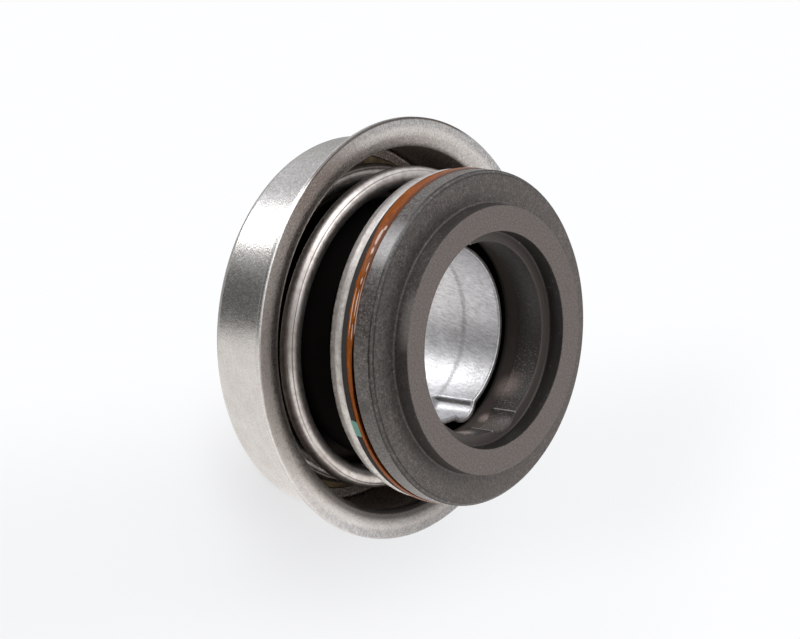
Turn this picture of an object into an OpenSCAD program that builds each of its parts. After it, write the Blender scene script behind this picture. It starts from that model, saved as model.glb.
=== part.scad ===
// Stationary half of a water pump face seal: a flanged steel cup, a sprung carbon ring with its
// rubber bellows, and the guide sleeve that the pump shaft runs through.
// The axis is Z. The cup stands on its rear face at z = 0, and the sealing face looks up.
// The ribs that stop the carbon ring from turning lie on the X axis.

/* [Cup] */
// Outer diameter of the wall, pressed into the pump housing
cup_od = 36.5; // [35.6:0.1:42]
// Height of the flange's front above the rear face
cup_depth = 8.2; // [6.5:0.1:11]
// Thickness of the sheet
cup_sheet = 0.6; // [0.4:0.05:0.8]
// Outer diameter of the flange
flange_od = 41; // [39.5:0.1:48]
// Radius of the lead-in where the wall rolls out into the flange
mouth_bend = 1.4; // [0.9:0.05:1.8]
// Inner radius of the corner between floor and wall
floor_bend = 0.35; // [0.2:0.05:0.5]
// Diameter of the hole in the floor
floor_hole_d = 19; // [18.6:0.1:21]

/* [Inner sleeve] */
// Bore that clears the pump shaft
sleeve_id = 16.5; // [15:0.1:17]
// Thickness of the sheet
sleeve_sheet = 0.5; // [0.3:0.05:0.7]
// Height of the front rim above the rear face of the cup
sleeve_top = 13.1; // [11:0.1:15]
// Inner radius of the bend between tube and foot
foot_bend = 0.6; // [0.4:0.05:0.9]

/* [Ribs against turning] */
// How far a rib stands out of the tube
rib_rise = 0.8; // [0.5:0.05:0.9]
// Outer radius of a rib's round back
rib_round = 2.4; // [1.8:0.1:3]
// Length of a rib from the front rim
rib_length = 6.5; // [4:0.1:8]

/* [Carbon ring] */
// Height of the sealing face above the cup's rear face, with the spring free
face_height = 19.45; // [19:0.05:23]
// Outer diameter
ring_od = 32; // [31.6:0.1:34]
// Thickness of the ring behind its front face
ring_height = 3.1; // [2.4:0.05:4]
// Bevel of the ring's front edge
ring_bevel = 0.4; // [0.1:0.05:0.7]
// Bevel of the ring's rear edge, which the adhesive fills
glue_bevel = 1; // [0.6:0.05:1.3]
// How far the adhesive stands out of the ring
bead_bulge = 0.05; // [0.03:0.01:0.1]
// Outer diameter of the raised nose
nose_od = 25.6; // [23.6:0.1:28]
// Step between the notches' ends and the wall of the bore's wide mouth
mouth_step = 0.35; // [0.15:0.05:1]
// Height of the nose over the front face
nose_height = 1.6; // [0.8:0.05:2]
// How much wider the nose is at its root than at the sealing face
nose_draft = 0.2; // [0:0.05:0.4]
// Depth of the wide mouth of the bore, from the sealing face
counterbore_depth = 1.75; // [1:0.05:2.5]
// Gap between the sleeve and the carbon's bore
bore_gap = 0.5; // [0.3:0.05:0.7]
// Gap between a rib and its notch
notch_gap = 0.45; // [0.2:0.05:0.6]
// How much tighter a notch is rounded than the rib
notch_trim = 0.15; // [0:0.05:0.4]

/* [Front retainer] */
// How far the skirt lies inside the carbon ring's rim
retainer_inset = 0.15; // [0:0.05:0.3]
// Height of the skirt
retainer_height = 1.65; // [1.2:0.05:2.2]
// Thickness of the sheet
retainer_sheet = 0.5; // [0.3:0.05:0.6]
// Gap between the spring's last turn and the collar that holds the rubber neck
collar_gap = 0.5; // [0.3:0.05:0.9]
// Height of the collar
collar_height = 2.2; // [1.4:0.05:3]
// How far the skirt's free edge is rolled in
skirt_tuck = 0.25; // [0.1:0.05:0.3]

/* [Bellows] */
// Thickness of the rubber wall
rubber_wall = 1; // [0.7:0.05:1.2]
// Thickness of the front flange, whose rim shows
front_flange = 0.65; // [0.4:0.05:1]
// How far the front flange lies inside the carbon ring's rim
rim_inset = 0.075; // [0:0.025:0.2]
// Thickness of the rear flange
rear_flange = 0.85; // [0.6:0.05:1.2]
// Rubber between the rim of the sleeve's foot and the rim of the rear flange
foot_wrap = 1.1; // [0.7:0.1:1.6]
// Gap between the folds and the spring
fold_gap = 1.2; // [0.7:0.1:1.7]
// Number of folds
fold_count = 2; // [1:1:3]
// Height of the thick neck behind the front flange
neck_height = 1.4; // [1:0.1:2]

/* [Spring] */
// Diameter of the wire
wire_d = 1.8; // [1.4:0.1:1.9]
// How far the turns lie inside the carbon ring's rim
coil_inset = 0.3; // [0:0.05:0.6]
// Open turns at the rear
rear_turns = 1.2; // [0.8:0.05:1.4]
// Pitch of the rear turns
rear_pitch = 5; // [4:0.1:5.5]
// Open turns at the front, whose pitch fills the rest of the height
front_turns = 0.55; // [0.5:0.05:1]
// Flat turns at each end
flat_turns = 0.5; // [0.3:0.05:0.6]

/* [Rear spring seat] */
// Gap between the seat's rim and the cup's wall
seat_gap = 1.15; // [0.6:0.05:1.5]
// Thickness of the sheet
seat_sheet = 0.5; // [0.3:0.05:0.7]

/* [Hidden] */

// Clearance between pieces that only lie together
rest_gap = 0.02;
// Clearance round pieces that are slipped in
slip_gap = 0.1;
// Clearance between the ribs and the rubber that passes over them
rib_clear = 0.4;
edge_round = 0.15;
// Inner radius of the sharper bends in the seats' sheet
sheet_bend = 0.2;
// Rounding of the rubber's inner corners
rubber_round = 0.3;
// Rounding of the carbon's edges, and of the corners inside its steps
carbon_edge = 0.08;
carbon_root = 0.2;
round_steps = 6;
curve_fn = 96;
// How far a cutting form stands out of what it cuts
cut_over = 1;

wall_r = cup_od / 2;
wall_inner_r = wall_r - cup_sheet;
sleeve_r = sleeve_id / 2;
sleeve_outer_r = sleeve_r + sleeve_sheet;
foot_top = cup_sheet + sleeve_sheet;
rib_r = sleeve_outer_r + rib_rise;

front_face = face_height - nose_height;
ring_rear = front_face - ring_height;
flange_rear = ring_rear - front_flange;
skirt_rear = flange_rear - retainer_height;
ring_r = ring_od / 2;
bore_r = sleeve_outer_r + bore_gap;
notch_r = rib_r + notch_gap;
rubber_inner_r = rib_r + rib_clear;
rubber_outer_r = rubber_inner_r + rubber_wall;

seat_r = wall_inner_r - seat_gap;
seat_top = cup_sheet + seat_sheet;
wire_r = wire_d / 2;
coil_r = ring_r - coil_inset - wire_r;
coil_low = seat_top + wire_r + rest_gap;
coil_high = flange_rear - retainer_sheet - wire_r - rest_gap;
open_turns = rear_turns + front_turns;
front_pitch = (coil_high - coil_low - rear_pitch * rear_turns) / front_turns;
skirt_r = ring_r - retainer_inset;
// The last turn is drawn in so that it nests inside the retainer's skirt
nest_r = skirt_r - skirt_tuck - retainer_sheet - slip_gap - wire_r;
collar_r = nest_r - wire_r - collar_gap - retainer_sheet;
// Direction in which the first open turn starts, seen from the front
coil_start = 221;
ring_steps = 36;
wire_sides = 12;
// Part of a turn over which the pitch changes, and over which its direction is measured
pitch_ease = 0.05;
pitch_probe = 0.002;

step_r = coil_r - wire_r - slip_gap;
rear_flange_r = step_r - seat_sheet - slip_gap;
foot_r = rear_flange_r - foot_wrap - slip_gap;
rear_flange_top = foot_top + rear_flange;

function unit(v) = v / norm(v);

// Points of the corner b between a and c, rounded to radius r
function corner(a, b, c, r) =
    r == 0 ? [b] :
    let (u = unit(a - b), w = unit(c - b),
         half = acos(u * w) / 2,
         m = b + unit(u + w) * r / sin(half),
         p = b + u * r / tan(half) - m,
         q = b + w * r / tan(half) - m,
         start = atan2(p.y, p.x),
         sweep = (atan2(q.y, q.x) - start + 540) % 360 - 180)
    [for (k = [0:round_steps])
        let (a = start + sweep * k / round_steps) m + r * [cos(a), sin(a)]];

// Closed outline from [radius, height, corner radius] points
function rounded(p) =
    let (n = len(p), q = [for (v = p) [v[0], v[1]]])
    [for (i = [0:n - 1]) each corner(q[(i + n - 1) % n], q[i], q[(i + 1) % n], p[i][2])];

module turned(outline) {
    rotate_extrude($fn = curve_fn) polygon(outline);
}

// Deep-drawn cup with its flange rolled outwards at the mouth
module cup() {
    flange_r = flange_od / 2;
    brim = flange_r - wall_r;
    rim_round = min(edge_round, brim / 4);
    color("gainsboro")
    turned(rounded([
        [floor_hole_d / 2, 0, edge_round],
        [wall_r, 0, floor_bend + cup_sheet],
        [wall_r, cup_depth - cup_sheet, min(mouth_bend - cup_sheet, brim / 2)],
        [flange_r, cup_depth - cup_sheet, rim_round],
        [flange_r, cup_depth, rim_round],
        [wall_inner_r, cup_depth, min(mouth_bend, brim + cup_sheet / 2)],
        [wall_inner_r, cup_sheet, floor_bend],
        [floor_hole_d / 2, cup_sheet, edge_round]
    ]));
}

// Round-backed bar along a rib, closed by a ball at its rear end
module rib_form(r) {
    rear = sleeve_top - rib_length + rib_round;
    translate([rib_r - rib_round, 0, 0]) {
        translate([0, 0, rear]) cylinder(r = r, h = sleeve_top - rear, $fn = curve_fn);
        translate([0, 0, rear]) sphere(r = r, $fn = curve_fn);
    }
}

// Drawn tube with a foot flange and two ribs pressed outwards from the rim
module inner_sleeve() {
    color("silver")
    difference() {
        union() {
            turned(rounded([
                [sleeve_r, sleeve_top, sleeve_sheet / 3],
                [sleeve_r, cup_sheet, foot_bend + sleeve_sheet],
                [foot_r, cup_sheet, 0],
                [foot_r, foot_top, edge_round],
                [sleeve_outer_r, foot_top, foot_bend],
                [sleeve_outer_r, sleeve_top, sleeve_sheet / 3]
            ]));
            for (side = [0, 180]) rotate([0, 0, side]) rib_form(rib_round);
        }
        for (side = [0, 180]) rotate([0, 0, side]) {
            rib_form(rib_round - sleeve_sheet);
            translate([rib_r - rib_round, 0, sleeve_top])
                cylinder(r = rib_round - sleeve_sheet, h = cut_over, $fn = curve_fn);
        }
        translate([0, 0, cup_sheet + foot_bend + sleeve_sheet])
            cylinder(r = sleeve_r, h = sleeve_top, $fn = curve_fn);
    }
}

// Stepped washer that carries the spring and clamps the rear flange of the bellows
module rear_spring_seat() {
    color("darkkhaki")
    turned(rounded([
        [step_r - seat_sheet, cup_sheet, sheet_bend],
        [seat_r, cup_sheet, edge_round],
        [seat_r, seat_top, edge_round],
        [step_r, seat_top, sheet_bend],
        [step_r, rear_flange_top + seat_sheet, sheet_bend + seat_sheet],
        [rubber_outer_r + slip_gap, rear_flange_top + seat_sheet, edge_round],
        [rubber_outer_r + slip_gap, rear_flange_top, edge_round],
        [step_r - seat_sheet, rear_flange_top, sheet_bend]
    ]));
}

// Middle line of the folded wall, from the rear neck to the front neck
fold_low = rear_flange_top + 1.5 * rubber_wall;
fold_high = flange_rear - neck_height;
fold_steps = 24 * fold_count;
fold_line = [for (i = [0:fold_steps])
    let (swing = (1 - cos(360 * fold_count * i / fold_steps)) / 2,
         valley = rubber_inner_r + rubber_wall / 2,
         crest = coil_r - wire_r - fold_gap - rubber_wall / 2)
    [valley + (crest - valley) * swing, fold_low + (fold_high - fold_low) * i / fold_steps]];

// One side of the folded wall, at a distance d outside its middle line
function fold_point(i, d) =
    let (t = unit(fold_line[min(i + 1, fold_steps)] - fold_line[max(i - 1, 0)]))
    [fold_line[i].x + d * t.y, fold_line[i].y - d * t.x, 0];

// Rubber moulding: rear flange, folds, thick neck and the front flange behind the carbon ring
module bellows() {
    neck_r = collar_r - rest_gap;
    grip_r = sleeve_outer_r + slip_gap;
    foot_seat_r = foot_r + slip_gap;
    rim_r = ring_r - rim_inset;
    color("dimgray") turned(rounded(concat(
        [[rear_flange_r, cup_sheet + rest_gap, edge_round],
         [rear_flange_r, rear_flange_top - rest_gap, edge_round],
         [rubber_outer_r, rear_flange_top - rest_gap, edge_round]],
        [for (i = [0:fold_steps]) fold_point(i, rubber_wall / 2)],
        [[neck_r, fold_high + rubber_round, rubber_round],
         [neck_r, flange_rear, retainer_sheet],
         [rim_r, flange_rear, edge_round / 2],
         [rim_r, ring_rear - rest_gap, edge_round / 2],
         [rubber_inner_r, ring_rear - rest_gap, edge_round]],
        [for (i = [fold_steps:-1:0]) fold_point(i, -rubber_wall / 2)],
        [[grip_r, rear_flange_top + rubber_wall / 3, rubber_round],
         [grip_r, foot_top + foot_bend + rest_gap, edge_round],
         [grip_r + foot_bend, foot_top + rest_gap, edge_round],
         [foot_seat_r, foot_top + rest_gap, 0],
         [foot_seat_r, cup_sheet + rest_gap, 0]])));
}

function ramp(x) = min(max(x, 0), 1);

// Height and radius of the wire's middle, by turns from the start of the open turns
function coil_rise(u) = rear_pitch * min(max(u, 0), rear_turns)
    + front_pitch * min(max(u - rear_turns, 0), front_turns);
function coil_z(u) = coil_low
    + (coil_rise(u - pitch_ease) + coil_rise(u) + coil_rise(u + pitch_ease)) / 3;
function coil_turn_r(u) = let (k = ramp((u - rear_turns) / front_turns))
    coil_r + (nest_r - coil_r) * k * k * (3 - 2 * k);
function coil_at(u) = let (a = coil_start - 360 * u, r = coil_turn_r(u))
    [r * cos(a), r * sin(a), coil_z(u)];

// Wire wound clockwise towards the front, with flat turns on both seats
module coil_spring() {
    first = -flat_turns;
    last = open_turns + flat_turns;
    rings = ceil((last - first) * ring_steps);
    points = [for (i = [0:rings])
        let (u = first + (last - first) * i / rings,
             c = coil_at(u),
             t = unit(coil_at(u + pitch_probe) - coil_at(u - pitch_probe)),
             out = unit([c.x, c.y, 0] - ([c.x, c.y, 0] * t) * t),
             up = cross(out, t))
        for (k = [0:wire_sides - 1])
            c + wire_r * (cos(360 * k / wire_sides) * out + sin(360 * k / wire_sides) * up)];
    skin = [for (i = [0:rings - 1]) for (k = [0:wire_sides - 1])
        let (a = i * wire_sides + k, b = i * wire_sides + (k + 1) % wire_sides)
        [a, a + wire_sides, b + wire_sides, b]];
    ends = [[for (k = [0:wire_sides - 1]) k],
            [for (k = [wire_sides - 1:-1:0]) rings * wire_sides + k]];
    color("lightgray") polyhedron(points = points, faces = concat(skin, ends));
}

// Channel ring: the skirt and collar hold the spring's last turn, the web presses on the rubber
module front_retainer() {
    web_rear = flange_rear - retainer_sheet;
    collar_rear = flange_rear - collar_height;
    skirt_bend = min(sheet_bend + retainer_sheet, retainer_height / 3);
    color("whitesmoke")
    turned(rounded([
        [collar_r, flange_rear - rest_gap, sheet_bend + retainer_sheet],
        [collar_r, collar_rear, edge_round],
        [collar_r + retainer_sheet, collar_rear, edge_round],
        [collar_r + retainer_sheet, web_rear, edge_round],
        [skirt_r - retainer_sheet, web_rear, edge_round],
        [skirt_r - retainer_sheet, skirt_rear + retainer_height / 2, retainer_sheet / 2],
        [skirt_r - retainer_sheet - skirt_tuck, skirt_rear, edge_round],
        [skirt_r - skirt_tuck, skirt_rear, edge_round],
        [skirt_r, skirt_rear + retainer_height / 2, retainer_height / 2],
        [skirt_r, flange_rear - rest_gap, skirt_bend]
    ]));
}

// Cured adhesive in the groove between the rubber rim and the carbon's bevelled rear edge
module adhesive_bead() {
    film = 3 * rest_gap;
    color("chocolate")
    turned([
        [ring_r - glue_bevel + film, ring_rear],
        [ring_r - rim_inset - rest_gap, ring_rear],
        [ring_r + rest_gap, ring_rear + glue_bevel / 3],
        [ring_r + bead_bulge, ring_rear + glue_bevel * 2 / 3],
        [ring_r + rest_gap, ring_rear + glue_bevel - rest_gap]
    ]);
}

// Carbon ring with the raised sealing nose, a wide mouth and notches for the ribs
module carbon_ring() {
    nose_r = nose_od / 2;
    mouth_r = notch_r + mouth_step;
    notch_round = rib_round - notch_trim;
    mouth_floor = face_height - counterbore_depth;
    color("dimgray")
    difference() {
        turned(rounded([
            [bore_r, ring_rear, edge_round],
            [ring_r - glue_bevel, ring_rear, 0],
            [ring_r, ring_rear + glue_bevel, 0],
            [ring_r, front_face - ring_bevel, carbon_edge],
            [ring_r - ring_bevel, front_face, carbon_edge],
            [nose_r + nose_draft / 2, front_face, carbon_root],
            [nose_r, face_height, carbon_edge],
            [mouth_r, face_height, carbon_edge],
            [mouth_r, mouth_floor, carbon_root],
            [bore_r, mouth_floor, carbon_edge]
        ]));
        for (side = [0, 180]) rotate([0, 0, side])
            translate([notch_r - notch_round, 0, ring_rear - cut_over])
                cylinder(r = notch_round, h = mouth_floor - ring_rear + 2 * cut_over, $fn = curve_fn);
    }
}

cup();
inner_sleeve();
rear_spring_seat();
bellows();
coil_spring();
front_retainer();
adhesive_bead();
carbon_ring();
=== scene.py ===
"""Looks of the pump seal: camera, materials, fine meshes for most of its pieces, floor and light."""

import functools
import math

import bmesh
import bpy
from mathutils import Matrix, Vector, noise


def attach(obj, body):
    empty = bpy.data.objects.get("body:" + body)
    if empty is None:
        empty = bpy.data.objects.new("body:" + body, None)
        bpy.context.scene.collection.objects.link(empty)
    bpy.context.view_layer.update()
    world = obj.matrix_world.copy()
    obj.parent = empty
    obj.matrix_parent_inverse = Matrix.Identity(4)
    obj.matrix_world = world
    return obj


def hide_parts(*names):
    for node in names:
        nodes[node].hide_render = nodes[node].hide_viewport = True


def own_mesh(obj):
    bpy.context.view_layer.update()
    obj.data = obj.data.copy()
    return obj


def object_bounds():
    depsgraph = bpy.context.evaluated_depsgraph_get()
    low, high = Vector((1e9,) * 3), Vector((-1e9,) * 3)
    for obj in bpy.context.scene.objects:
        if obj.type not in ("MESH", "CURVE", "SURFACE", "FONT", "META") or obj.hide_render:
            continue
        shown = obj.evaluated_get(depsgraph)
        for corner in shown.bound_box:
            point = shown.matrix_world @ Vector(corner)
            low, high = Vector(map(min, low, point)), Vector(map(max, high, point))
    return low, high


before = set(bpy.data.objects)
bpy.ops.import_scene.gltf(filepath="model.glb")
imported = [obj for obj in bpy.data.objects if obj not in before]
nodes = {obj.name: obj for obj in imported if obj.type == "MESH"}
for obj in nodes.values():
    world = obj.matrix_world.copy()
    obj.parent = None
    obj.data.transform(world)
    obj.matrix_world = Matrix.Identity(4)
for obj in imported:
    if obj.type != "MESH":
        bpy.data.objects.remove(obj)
cad_low, cad_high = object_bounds()

MM = 0.001

# Sizes of the seal in millimetres, as the construction has them
FLANGE_Z = 8.2
SHEET = 0.6
SEAT_TOP = 1.1
RUBBER_IN = 9.95
RIM_R = 15.925
RIM_REAR = 14.1
RING_R = 16.0
RING_REAR = 14.75
BORE_R = 9.25
GLUE_BEVEL = 1.0
# Height of the crease that the press left in the sleeve, which only the looks have
CREASE_Z = 8.7
# Clock angles run counter-clockwise in the photograph, from the top of the seal's face.
# A clock angle minus this one is the azimuth.
CLOCK = 208.5


def polar(radius, clock, height=0.0):
    """Point of the seal at a radius, a clock angle of the photograph and a height."""
    azimuth = math.radians(clock - CLOCK)
    return (radius * math.cos(azimuth), radius * math.sin(azimuth), height)


# Camera, from the angles at which the photograph shows the seal and the place of the flange's centre in it
AXIS_TURN = math.radians(49.42)
AXIS_DROP = math.radians(5.49)
FOCAL_PX = 3000.0
FRAME_W, FRAME_H = 800.0, 639.0
FLANGE_PX = (405.70, 328.86)
FLANGE_DEPTH = 290.155
SENSOR_MM = 36
CLIP_NEAR, CLIP_FAR = 0.01, 20


def photo_axes():
    """Matrix whose columns are the photograph's right, down and forward directions in the seal's frame."""
    level = math.cos(AXIS_DROP)
    axis = Vector((level * math.sin(AXIS_TURN), math.sin(AXIS_DROP), -level * math.cos(AXIS_TURN)))
    top = (Vector((0, -1, 0)) + axis * axis.y).normalized()
    left = axis.cross(top)
    turn = math.radians(CLOCK)
    x_axis = top * math.cos(turn) + left * math.sin(turn)
    y_axis = axis.cross(x_axis)
    return Matrix((x_axis, y_axis, axis))


PHOTO = photo_axes()


def from_photo(x, y, z):
    """Direction in the seal's frame of one in the photograph: x right, y down, z away from the viewer."""
    return (PHOTO @ Vector((x, y, z))).normalized()


def make_camera():
    data = bpy.data.cameras.new("camera")
    data.sensor_width = SENSOR_MM
    data.lens = FOCAL_PX / FRAME_W * SENSOR_MM
    data.clip_start = CLIP_NEAR
    data.clip_end = CLIP_FAR
    camera = bpy.data.objects.new("camera", data)
    bpy.context.scene.collection.objects.link(camera)
    right_of_middle = (FLANGE_PX[0] - FRAME_W / 2) / FOCAL_PX
    below_middle = (FLANGE_PX[1] - FRAME_H / 2) / FOCAL_PX
    offset = Vector((right_of_middle, below_middle, 1)) * FLANGE_DEPTH
    place = Vector((0, 0, FLANGE_Z)) - PHOTO @ offset
    right, down, forward = PHOTO.transposed()
    turn = Matrix((right, -down, -forward)).transposed()
    camera.matrix_world = Matrix.Translation(place * MM) @ turn.to_4x4()
    bpy.context.scene.camera = camera


make_camera()


# Node trees. These are the places of the colours among the sockets of a colour mix
MIX_A, MIX_B, MIX_RESULT = 6, 7, 2


class Graph:
    """Short ways to write a node tree."""

    def __init__(self, tree):
        self.tree = tree
        self.tree.nodes.clear()

    def add(self, kind, inputs, **settings):
        node = self.tree.nodes.new(kind)
        for key, value in settings.items():
            setattr(node, key, value)
        for key, value in inputs.items():
            self.put(node.inputs[key], value)
        return node

    def put(self, socket, value):
        if isinstance(value, bpy.types.NodeSocket):
            self.tree.links.new(value, socket)
        elif socket.type == "RGBA":
            socket.default_value = (*value, 1)
        else:
            socket.default_value = value

    def math(self, operation, *values):
        return self.add("ShaderNodeMath", dict(enumerate(values)), operation=operation).outputs[0]

    def chain(self, operation, values):
        return functools.reduce(lambda a, b: self.math(operation, a, b), values)

    def times(self, *values):
        return self.chain("MULTIPLY", values)

    def plus(self, *values):
        return self.chain("ADD", values)

    def most(self, *values):
        return self.chain("MAXIMUM", values)

    def minus(self, a, b):
        return self.math("SUBTRACT", a, b)

    def vector(self, operation, *values):
        node = self.add("ShaderNodeVectorMath", dict(enumerate(values)), operation=operation)
        return node.outputs["Value" if operation in ("DOT_PRODUCT", "LENGTH") else "Vector"]

    def scaled(self, vector, factor):
        return self.add("ShaderNodeVectorMath", {0: vector, "Scale": factor}, operation="SCALE").outputs[0]

    def span(self, value, low, high, out_low=0.0, out_high=1.0, smooth=False):
        """Number from out_low to out_high for a value from low to high, held beyond the ends."""
        inputs = {"Value": value, "From Min": low, "From Max": high, "To Min": out_low, "To Max": out_high}
        kind = "SMOOTHSTEP" if smooth else "LINEAR"
        return self.add("ShaderNodeMapRange", inputs, interpolation_type=kind).outputs[0]

    def near(self, value, centre, half):
        """1 where the value is at the centre, falling to 0 at half to either side."""
        return self.span(self.math("ABSOLUTE", self.minus(value, centre)), half, half * 0.4)

    def mix(self, share, a, b):
        """Colour a with a share of colour b."""
        node = self.add("ShaderNodeMix", {"Factor": share, MIX_A: a, MIX_B: b}, data_type="RGBA")
        return node.outputs[MIX_RESULT]

    def noise(self, vector, scale, detail, rough, w=None):
        inputs = {"Vector": vector, "Scale": scale, "Detail": detail, "Roughness": rough}
        if w is None:
            return self.add("ShaderNodeTexNoise", inputs).outputs["Fac"]
        return self.add("ShaderNodeTexNoise", {**inputs, "W": w}, noise_dimensions="4D").outputs["Fac"]


class Finish(Graph):
    """A material, with a point's place on the seal in millimetres and its radius from the seal's axis."""

    def __init__(self, name):
        self.material = bpy.data.materials.new(name)
        self.material.use_nodes = True
        super().__init__(self.material.node_tree)
        self.at = self.scaled(self.add("ShaderNodeTexCoord", {}).outputs["Object"], 1 / MM)
        x, self.y, self.z = self.add("ShaderNodeSeparateXYZ", {"Vector": self.at}).outputs
        self.radius = self.math("SQRT", self.plus(self.times(x, x), self.times(self.y, self.y)))

    def spots(self, scale, detail=3.0, rough=0.6, stretch=None):
        """Noise all over the seal, finer along an axis that is stretched by more than 1."""
        at = self.vector("MULTIPLY", self.at, stretch) if stretch else self.at
        return self.noise(at, scale, detail, rough)

    def rings(self, along, across, detail=3.0):
        """Noise in rings round the axis: long along them and fine across them."""
        flat = self.vector("MULTIPLY", self.at, (along, along, across))
        return self.noise(flat, 1.0, detail, 0.6, self.times(self.radius, across))

    def scratches(self, way, fine, long):
        """Noise drawn out along one direction of the seal's frame."""
        way = tuple(Vector(way).normalized())
        shift = self.times(self.vector("DOT_PRODUCT", self.at, way), long / fine - 1)
        return self.noise(self.vector("ADD", self.at, self.scaled(way, shift)), fine, 2.0, 0.6)

    def towards(self, clock):
        """Cosine of the angle between a point's azimuth and a clock angle of the photograph."""
        return self.math("DIVIDE", self.vector("DOT_PRODUCT", self.at, polar(1, clock)), self.radius)

    def away(self, radius, clock, height):
        """Distance in millimetres from a point of the seal."""
        return self.vector("LENGTH", self.vector("SUBTRACT", self.at, polar(radius, clock, height)))

    def surface(self, colour, rough, height, depth, others):
        """Finish the material with a principled surface, bumped by a height of this depth in millimetres."""
        bump = self.add("ShaderNodeBump", {"Height": height, "Distance": depth * MM, "Strength": 1.0})
        inputs = {"Base Color": colour, "Roughness": rough, "Normal": bump.outputs[0], **others}
        shader = self.add("ShaderNodeBsdfPrincipled", inputs)
        self.add("ShaderNodeOutputMaterial", {"Surface": shader.outputs[0]})
        return self.material


# Materials
# Marks fade between two radii or heights in millimetres, or two cosines of the angle from a clock angle


def cup_film(g, film, spots, colour):
    """Brown film on the flange and lip, with dark and pale specks. The film is partly real and partly
    painted reflection, which makes it strongest at the left.
    """
    leftward = g.towards(80)
    brown = g.span(g.spots(0.9, 4.0, 0.65), 0.4, 0.62, 0.15, 0.7)
    # Partly painted reflection: the brown film is strongest towards the left
    colour = g.mix(g.times(film, brown, g.span(leftward, 0.35, 0.8, 0.25, 1.0)), colour, (0.54, 0.47, 0.42))
    left = g.times(film, g.span(leftward, -0.2, 0.7))
    colour = g.mix(g.times(left, g.span(spots, 0.52, 0.66, 0.0, 0.75)), colour, (0.3, 0.25, 0.22))
    return g.mix(g.times(left, g.span(spots, 0.42, 0.32, 0.0, 0.6)), colour, (0.8, 0.77, 0.74))


def cup_flange(g, film, on_flange, spots, colour):
    """Painted brown shade at the upper left, pale and blue-grey reflections on the flat, and shade on the
    inner curve at the top.
    """
    # Painted brown shade at the upper left
    shaded = g.times(on_flange, g.span(g.towards(47), 0.93, 0.995, 0.0, 0.6))
    colour = g.mix(shaded, colour, (0.4, 0.33, 0.29))
    # Painted pale reflection on the flat at the lower left, top and bottom
    flat = g.times(on_flange, g.span(g.radius, 18.9, 19.3))
    ends = g.span(g.towards(90), 0.75, 0.3)
    pale_reflection = g.most(g.span(g.towards(120), 0.4, 0.8, 0.0, 0.45), g.times(ends, 0.55))
    colour = g.mix(g.times(flat, pale_reflection), colour, (0.95, 0.92, 0.9))
    # Painted blue-grey reflection near the flat's outer edge at top and bottom
    cool_reflection = g.times(flat, ends, g.span(g.radius, 19.45, 19.8), g.span(spots, 0.4, 0.58, 0.25, 0.85))
    colour = g.mix(cool_reflection, colour, (0.42, 0.43, 0.46))
    # Painted shade on the flange's inner curve at the top
    bend_shade = g.times(film, g.span(g.radius, 18.95, 18.6), g.span(g.towards(30), 0.6, 0.9, 0.0, 0.5))
    return g.mix(bend_shade, colour, (0.22, 0.18, 0.16))


def cup_edge(g, colour):
    """Painted highlight along the flange's outer edge, uneven and strongest at the upper left, with a few
    bright nicks.
    """
    nick = g.times(g.span(g.spots(3.1, 2.0, 0.7), 0.68, 0.72), g.span(g.radius, 19.9, 20.3))
    # Painted highlight on the round of the outer edge
    edge = g.times(g.span(g.radius, 20.3, 20.42), g.span(g.z, 8.03, 8.1))
    uneven = g.span(g.spots(1.1, 3.0, 0.7), 0.3, 0.5, 0.3, 1.0)
    edge = g.times(edge, uneven, g.span(g.towards(60), 0.6, 0.9, 0.15, 1.0))
    return g.mix(g.most(nick, edge), colour, (0.95, 0.95, 0.95))


def cup_wear(g, colour):
    """Fine specks and crossed scratches, weaker at the lower left."""
    worked = g.span(g.towards(130), 0.6, 0.85, 1.0, 0.3)
    fine = g.spots(6.5, 3.0, 0.7)
    colour = g.mix(g.times(worked, g.span(fine, 0.5, 0.68, 0.0, 0.45)), colour, (0.36, 0.34, 0.33))
    colour = g.mix(g.times(worked, g.span(fine, 0.42, 0.32, 0.0, 0.5)), colour, (0.86, 0.85, 0.84))
    for sign in (-1, 1):
        hatch = g.scratches((0.4, -0.6, 0.75 * sign), 7.0, 1.2)
        colour = g.mix(g.times(worked, g.span(hatch, 0.57, 0.66, 0.0, 0.5)), colour, (0.9, 0.89, 0.88))
        colour = g.mix(g.times(worked, g.span(hatch, 0.42, 0.34, 0.0, 0.4)), colour, (0.32, 0.31, 0.3))
    return colour


def cup_painted_shade(g, film, colour):
    """Painted shade: a dark line on the rim at the top, and the flange's inner curve and the cup just inside
    its opening darker at the bottom. The flange and lip are also darker towards the lower right.
    """
    # Painted shade: a dark line on the rim at the top
    rim = g.times(g.span(g.radius, 20.22, 20.34), g.span(g.z, 8.02, 8.08))
    colour = g.mix(g.times(rim, g.span(g.towards(15), 0.8, 0.86, 0.0, 0.85)), colour, (0.1, 0.075, 0.065))
    # Darker towards the lower right on the flange and lip
    low_side = g.times(film, g.span(g.towards(225), 0.46, 0.866, 0.0, 0.48))
    colour = g.mix(low_side, colour, (0.1, 0.09, 0.085))
    # Painted shade at the bottom on the flange's inner curve and just inside the cup's opening
    below = g.towards(180)
    bend_shade = g.times(film, g.span(g.radius, 18.85, 18.45), g.span(below, 0.6, 1.0, 0.15, 0.65))
    colour = g.mix(bend_shade, colour, (0.06, 0.05, 0.045))
    mouth_shade = g.times(g.span(g.radius, 18.15, 18.0), g.span(g.z, 7.0, 7.6))
    mouth_shade = g.times(mouth_shade, g.span(below, 0.85, 0.97, 0.0, 0.85))
    return g.mix(mouth_shade, colour, (0.02, 0.017, 0.015))


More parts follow.
